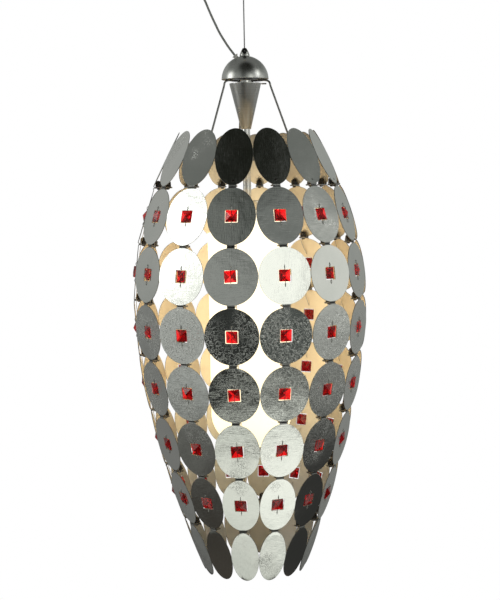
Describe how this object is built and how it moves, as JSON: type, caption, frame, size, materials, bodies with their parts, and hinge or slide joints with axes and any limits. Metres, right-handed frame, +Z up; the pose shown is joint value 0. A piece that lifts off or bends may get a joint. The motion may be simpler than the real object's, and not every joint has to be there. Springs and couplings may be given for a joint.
{
  "type": "pendant lamp",
  "caption": "Barrel-shaped pendant lamp: columns of silver-leafed oval discs with red square crystals round a lit opal glass tube, hung on a steel cable.",
  "frame": {"origin": "centre of the ceiling plate's top face, where the lamp meets the ceiling", "axes": "+Z up, out of the plate into the ceiling; the lamp hangs down -Z; -Y is the front, +X to the right seen from the front"},
  "size_m": [0.2952, 0.2946, 0.7768],
  "materials": {
    "silver_leaf": "silver leaf over thin metal, fine crackle, clear lacquer; inner faces warm gold-tinted",
    "red_crystal": "polished faceted red crystal",
    "satin_nickel": "satin nickel",
    "brushed_nickel": "nickel brushed round the axis",
    "bright_nickel": "bright nickel",
    "zinc_steel": "zinc-plated steel",
    "steel_cable": "stranded steel",
    "cord_grey": "round two-core flex, silver-grey sheath",
    "black_steel": "blackened steel",
    "black_plastic": "black moulded cap nuts",
    "brass": "turned brass",
    "white_plastic": "moulded white plastic",
    "white_porcelain": "glazed porcelain",
    "opal_glass": "opal glass, satin outside, lit from within",
    "frosted_bulb": "frosted bulb glass"
  },
  "bodies": {
    "root": {"ceiling_plate": "zinc_steel", "ceiling_canopy": "satin_nickel", "canopy_screw_1": "satin_nickel", "canopy_screw_2": "satin_nickel", "terminal_block": "white_plastic", "cord_gland": "satin_nickel", "cable_bush": "satin_nickel"},
    "cable_ball": {"cable_ball": "brass", "power_cord": "cord_grey"},
    "lamp": {"steel_cable": "steel_cable", "cable_clamp": "satin_nickel", "dome_cap": "satin_nickel", "dome_bushing": "white_plastic", "hub_plate": "zinc_steel", "hub_collar": "bright_nickel", "arm_1": "satin_nickel", "arm_2": "satin_nickel", "arm_3": "satin_nickel", "cone_lid": "zinc_steel", "cone_shroud": "brushed_nickel", "cone_screw": "zinc_steel", "stem_tube": "bright_nickel", "carrier_ring": "satin_nickel", "fitter_cap": "bright_nickel", "fitter_screw_1": "satin_nickel", "fitter_screw_2": "satin_nickel", "fitter_screw_3": "satin_nickel", "lamp_holder": "white_porcelain", "disc_column_01": "silver_leaf", "disc_column_02": "silver_leaf", "disc_column_03": "silver_leaf", "disc_column_04": "silver_leaf", "disc_column_05": "silver_leaf", "disc_column_06": "silver_leaf", "disc_column_07": "silver_leaf", "disc_column_08": "silver_leaf", "disc_column_09": "silver_leaf", "disc_column_10": "silver_leaf", "disc_column_11": "silver_leaf", "disc_column_12": "silver_leaf", "disc_column_13": "silver_leaf", "disc_column_14": "silver_leaf", "crystal_string_01": "red_crystal", "crystal_string_02": "red_crystal", "crystal_string_03": "red_crystal", "crystal_string_04": "red_crystal", "crystal_string_05": "red_crystal", "crystal_string_06": "red_crystal", "crystal_string_07": "red_crystal", "crystal_string_08": "red_crystal", "crystal_string_09": "red_crystal", "crystal_string_10": "red_crystal", "crystal_string_11": "red_crystal", "crystal_string_12": "red_crystal", "crystal_string_13": "red_crystal", "crystal_string_14": "red_crystal"},
    "set_screw": {"set_screw": "black_steel"},
    "diffuser": {"diffuser_glass": "opal_glass"},
    "bulb": {"bulb_base": "brass", "bulb_glass": "frosted_bulb"}
  },
  "joints": [
    {"name": "swing_front_back", "type": "hinge", "parent": "root", "child": "cable_ball", "pos_m": [0, 0, -0.036], "axis": [1, 0, 0], "range_deg": [-15, 15], "deforming": ["power_cord"]},
    {"name": "swing_side", "type": "hinge", "parent": "cable_ball", "child": "lamp", "pos_m": [0, 0, -0.036], "axis": [0, 1, 0], "range_deg": [-15, 15]},
    {"name": "set_screw_turn", "type": "hinge", "parent": "lamp", "child": "set_screw", "pos_m": [0, 0, -0.1206], "axis": [0, 1, 0], "continuous": true},
    {"name": "diffuser_drop", "type": "slide", "parent": "lamp", "child": "diffuser", "axis": [0, 0, -1], "range_m": [0, 0.48]},
    {"name": "bulb_turn", "type": "hinge", "parent": "lamp", "child": "bulb", "pos_m": [0, 0, -0.4], "axis": [0, 0, 1], "continuous": true}
  ]
}
